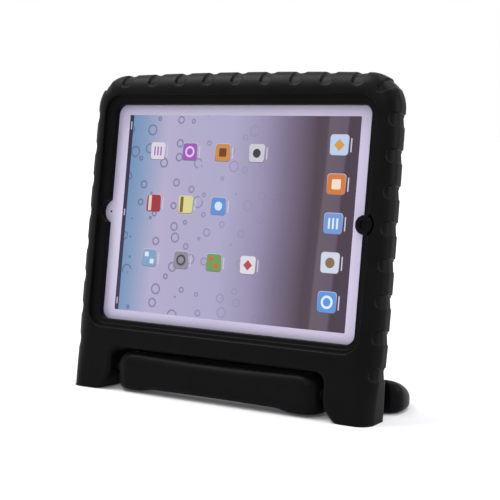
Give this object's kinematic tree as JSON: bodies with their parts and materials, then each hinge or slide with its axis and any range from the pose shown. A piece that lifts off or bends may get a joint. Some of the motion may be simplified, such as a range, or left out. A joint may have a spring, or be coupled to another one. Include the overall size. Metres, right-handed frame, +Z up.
{
  "type": "foam tablet case with stand handle",
  "caption": "Thick moulded foam case for a tablet, with grip grooves round its edge and a turning handle that folds behind it as a stand, holding a tablet.",
  "frame": {"origin": "on the floor, at the middle of the underside of the standing case's box", "axes": "+X to the right seen from the screen, +Y to the back, +Z up"},
  "size_m": [0.2576, 0.0924, 0.2351],
  "materials": {
    "foam": "matt moulded foam",
    "pin_plastic": "moulded",
    "bush_plastic": "moulded",
    "shell_aluminium": "satin",
    "front_glass": "gloss glass, printed white behind",
    "display": "lit display",
    "button_plastic": "gloss",
    "battery_pouch": "foil pouch",
    "circuit_board": "solder mask",
    "camera_black": "gloss",
    "connector_metal": "plated"
  },
  "bodies": {
    "case": {"case_body": "foam", "pivot_pin_left": "pin_plastic", "pivot_pin_right": "pin_plastic", "tablet_back_shell": "shell_aluminium", "tablet_front_glass": "front_glass", "tablet_display": "display", "tablet_battery_1": "battery_pouch", "tablet_battery_2": "battery_pouch", "tablet_battery_3": "battery_pouch", "tablet_logic_board": "circuit_board", "tablet_front_camera": "camera_black", "tablet_rear_camera": "camera_black", "tablet_speaker": "camera_black", "tablet_dock_connector": "connector_metal", "tablet_headphone_jack": "camera_black"},
    "handle": {"handle_stand": "foam", "pivot_bush_left": "bush_plastic", "pivot_bush_right": "bush_plastic"},
    "home_button": {"tablet_home_button": "button_plastic"},
    "sleep_button": {"tablet_sleep_button": "button_plastic"},
    "volume_rocker": {"tablet_volume_rocker": "button_plastic"},
    "side_switch": {"tablet_side_switch": "button_plastic"}
  },
  "joints": [
    {"name": "handle_turn", "type": "hinge", "parent": "case", "child": "handle", "pos_m": [0, -0.0318, 0.01621], "axis": [-1, 0, 0], "range_deg": [0, 98.8]},
    {"name": "home_press", "type": "slide", "parent": "case", "child": "home_button", "axis": [0, 0.9882, -0.153], "range_m": [0, 0.0004], "stiffness_N_per_m": 800},
    {"name": "sleep_press", "type": "slide", "parent": "case", "child": "sleep_button", "axis": [1, 0, 0], "range_m": [0, 0.00035], "stiffness_N_per_m": 800},
    {"name": "volume_rock", "type": "hinge", "parent": "case", "child": "volume_rocker", "pos_m": [-0.0706, 0.00212, 0.22098], "axis": [0, 0.9882, -0.153], "range_deg": [-0.8, 0.8], "stiffness_Nm_per_rad": 0.05},
    {"name": "switch_slide", "type": "slide", "parent": "case", "child": "side_switch", "axis": [1, 0, 0], "range_m": [0, 0.0016]}
  ]
}
